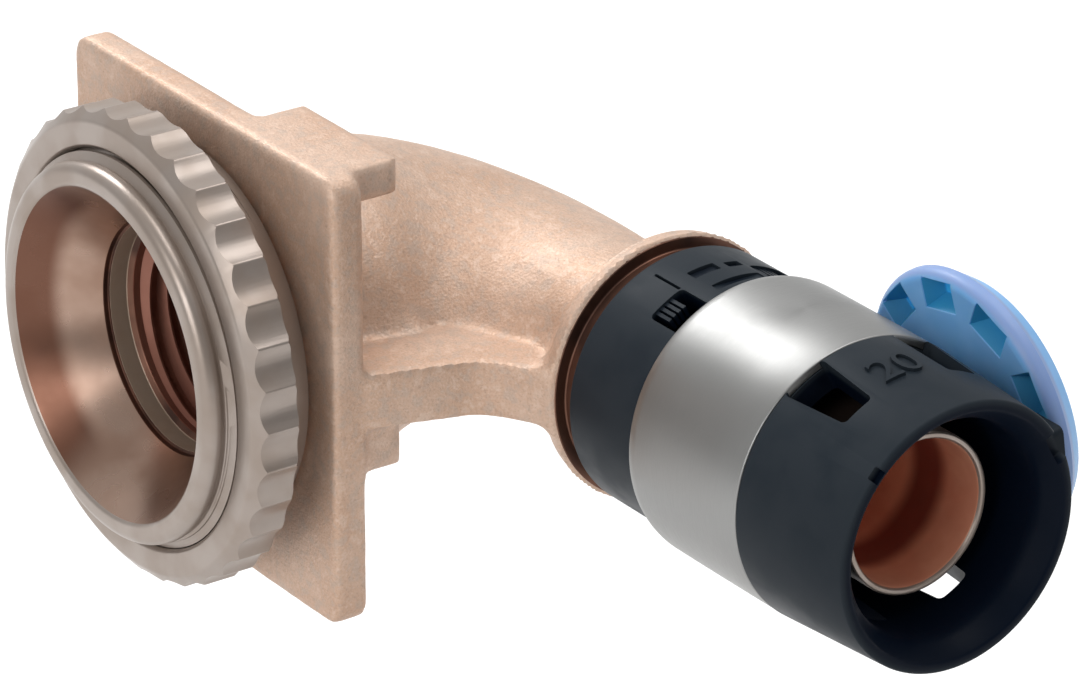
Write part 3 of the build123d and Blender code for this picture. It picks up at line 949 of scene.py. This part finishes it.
def makeFloor():
    bm = bmesh.new()
    bmesh.ops.create_grid(bm, x_segments=1, y_segments=1, size=stageLook["floorSize"] / 2)
    bmesh.ops.translate(bm, verts=bm.verts, vec=(0, 0, stageLook["floorHeight"] * mm))
    material = bpy.data.materials.new("paleFloor")
    n = Nodes(material)
    n.give(color=(stageLook["floorColor"],) * 3, rough=0.9, specular=0.1)
    tree = n.tree
    glow = n.add("Emission", {"Color": (1, 1, 1, 1), "Strength": stageLook["floorGlow"]})
    both = tree.nodes.new("ShaderNodeAddShader")
    tree.links.new(n.shader.outputs[0], both.inputs[0])
    tree.links.new(glow.outputs[0], both.inputs[1])
    seen = tree.nodes.new("ShaderNodeLightPath")
    # what the camera, a polished face or a clear one sees is white, and still takes the shadow
    first = n.maths("MAXIMUM", seen.outputs["Is Camera Ray"], seen.outputs["Is Glossy Ray"])
    shown = n.maths("MAXIMUM", first, seen.outputs["Is Transmission Ray"])
    choose = tree.nodes.new("ShaderNodeMixShader")
    tree.links.new(shown, choose.inputs[0])
    tree.links.new(n.shader.outputs[0], choose.inputs[1])
    tree.links.new(both.outputs[0], choose.inputs[2])
    tree.links.new(choose.outputs[0], tree.nodes["Material Output"].inputs[0])
    toObject(bm, "floor", [material])


def makeWorld():
    # one pale room for every ray, brightest behind the plate and dimmest where the socket looks
    look = stageLook
    world = bpy.data.worlds.new("softStudio")
    scene.world = world
    world.use_nodes = True
    tree = world.node_tree
    plain = tree.nodes["Background"]
    plain.inputs["Color"].default_value = (1, 1, 1, 1)
    sky = tree.nodes.new("ShaderNodeTexCoord").outputs["Generated"]
    side = tree.nodes.new("ShaderNodeVectorMath")
    side.operation = "DOT_PRODUCT"
    side.inputs[1].default_value = Vector(look["brightFrom"]).normalized()
    tree.links.new(sky, side.inputs[0])
    strength = tree.nodes.new("ShaderNodeMapRange")
    ends = {"From Min": "dimAt", "From Max": "brightAt", "To Min": "dim", "To Max": "bright"}
    for name, value in ends.items():
        strength.inputs[name].default_value = look[value]
    tree.links.new(side.outputs["Value"], strength.inputs["Value"])
    tree.links.new(strength.outputs["Result"], plain.inputs["Strength"])


lamps = {
    "keyLeft": {"from": (-0.74, 0.02, 0.67), "distance": 600, "size": 240, "power": 1.4},
    "top": {"from": (0.1, 0.25, 1.0), "distance": 600, "size": 420, "power": 1.5},
    "front": {"from": (0.3, -0.85, 0.4), "distance": 700, "size": 400, "power": 1.8},
}


def makeLamps():
    middle = (cadBox[0] + cadBox[1]) / 2
    for name, lamp in lamps.items():
        data = bpy.data.lights.new(name, "AREA")
        data.shape = "SQUARE"
        data.size = lamp["size"] * mm
        data.energy = lamp["power"]
        obj = bpy.data.objects.new(name, data)
        scene.collection.objects.link(obj)
        direction = Vector(lamp["from"]).normalized()
        obj.location = middle + direction * lamp["distance"] * mm
        obj.rotation_euler = direction.to_track_quat("Z", "Y").to_euler()


makeFloor()
makeWorld()
makeLamps()
print("stage and lamps made")
